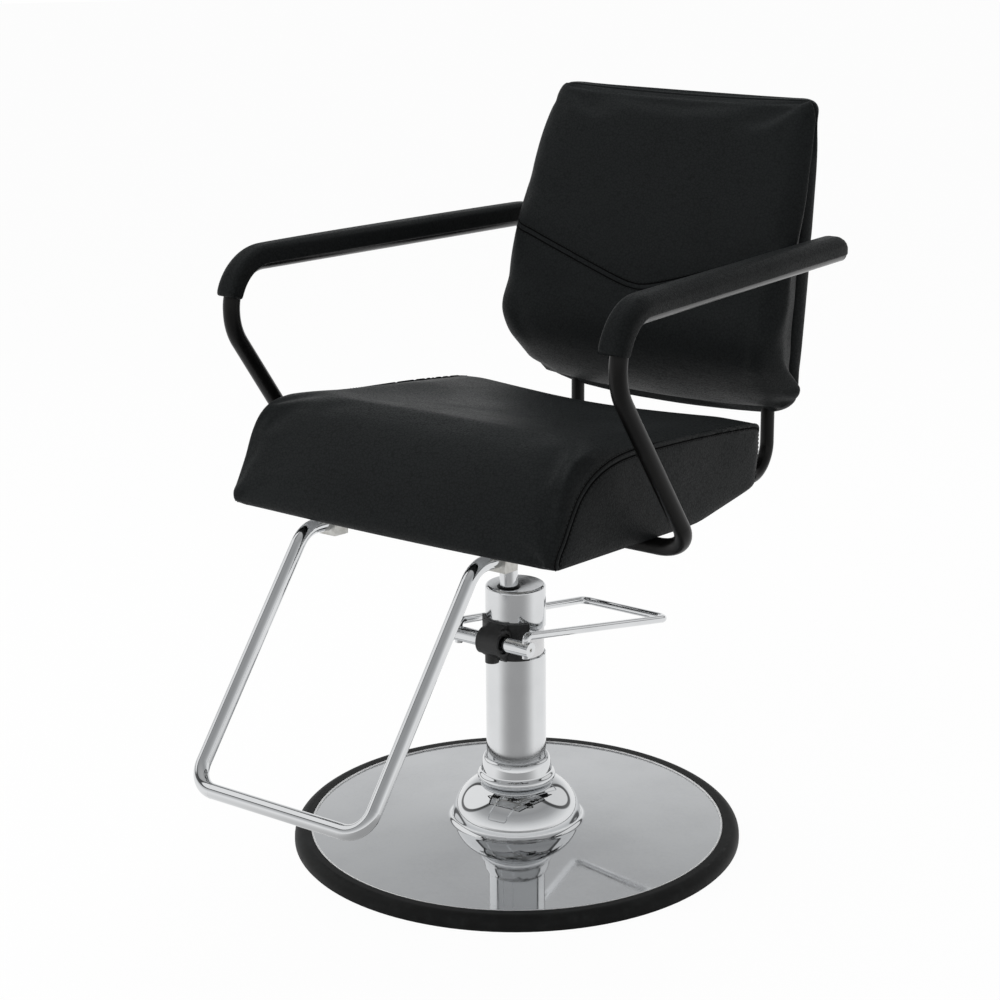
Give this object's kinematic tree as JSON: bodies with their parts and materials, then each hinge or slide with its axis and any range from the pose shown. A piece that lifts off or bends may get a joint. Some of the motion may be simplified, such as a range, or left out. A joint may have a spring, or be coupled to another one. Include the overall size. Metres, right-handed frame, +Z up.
{
  "type": "hydraulic styling chair",
  "caption": "Salon styling chair with padded seat and leaning back, tube arms with padded covers, hoop footrest, pump column with foot pedal and a round weighted base.",
  "frame": {"origin": "on the floor at the centre of the round base", "axes": "+Z up, the sitter faces -Y, +X is the sitter's left"},
  "size_m": [0.6198, 0.9214, 0.958],
  "materials": {
    "chrome": "polished chrome plate",
    "rubber": "matt black rubber",
    "cast_iron": "rough casting",
    "zinc_steel": "zinc plated",
    "pump_steel": "ground steel",
    "bronze": "machined bronze",
    "black_plastic": "moulded black plastic",
    "black_paint": "satin black powder coat",
    "plywood": "bare plywood",
    "upholstery": "black upholstery leather, satin"
  },
  "bodies": {
    "base": {"edge_ring": "rubber", "base_weight": "cast_iron", "base_cover": "chrome", "column_collar": "chrome", "pump_foot": "cast_iron", "foot_bolts": "zinc_steel", "pump_reservoir": "pump_steel", "column_sleeve": "chrome", "lift_cylinder": "pump_steel", "head_plug": "zinc_steel", "ram_guide": "bronze", "ram_wiper": "rubber", "column_cap": "chrome", "lever_housing": "black_plastic", "plunger_plug": "zinc_steel", "plunger_spring": "zinc_steel"},
    "pedal": {"lever_shaft": "chrome", "pedal_loop": "chrome", "pedal_screws": "zinc_steel"},
    "plunger": {"pump_plunger": "zinc_steel"},
    "ram": {"lift_ram": "chrome", "piston_head": "pump_steel", "swivel_disc": "bronze"},
    "seat": {"seat_hub": "black_paint", "hub_bolts": "zinc_steel", "seat_board": "plywood", "seat_cushion": "upholstery", "footrest_hoop": "chrome", "footrest_clamps": "black_paint", "footrest_plugs": "black_plastic", "clamp_bolts": "zinc_steel", "left_arm_tube": "black_paint", "right_arm_tube": "black_paint", "left_arm_pad": "upholstery", "right_arm_pad": "upholstery", "arm_end_plugs": "black_plastic", "arm_plates": "black_paint", "arm_bolts": "zinc_steel", "left_back_tube": "black_paint", "right_back_tube": "black_paint", "back_tube_clamps": "black_paint", "back_tube_plugs": "black_plastic", "back_board": "plywood", "back_clips": "black_paint", "clip_screws": "zinc_steel", "back_shell": "upholstery", "back_cushion": "upholstery"}
  },
  "joints": [
    {"name": "lift", "type": "slide", "parent": "base", "child": "ram", "axis": [0, 0, 1], "range_m": [-0.04, 0.11]},
    {"name": "seat_swivel", "type": "hinge", "parent": "ram", "child": "seat", "pos_m": [0, -0.015, 0.42], "axis": [0, 0, 1], "continuous": true},
    {"name": "pedal_press", "type": "hinge", "parent": "base", "child": "pedal", "pos_m": [0, -0.053, 0.29], "axis": [1, 0, 0], "range_deg": [-20, 0], "stiffness_Nm_per_rad": 2.5, "springref_deg": 34.38},
    {"name": "plunger_stroke", "type": "slide", "parent": "base", "child": "plunger", "axis": [0, 0, 1], "range_m": [-0.00096, 0], "deforming": ["plunger_spring"]}
  ],
  "couplings": [
    {"joint": "plunger_stroke", "follows": "pedal_press", "m_per_rad": 0.0027}
  ]
}
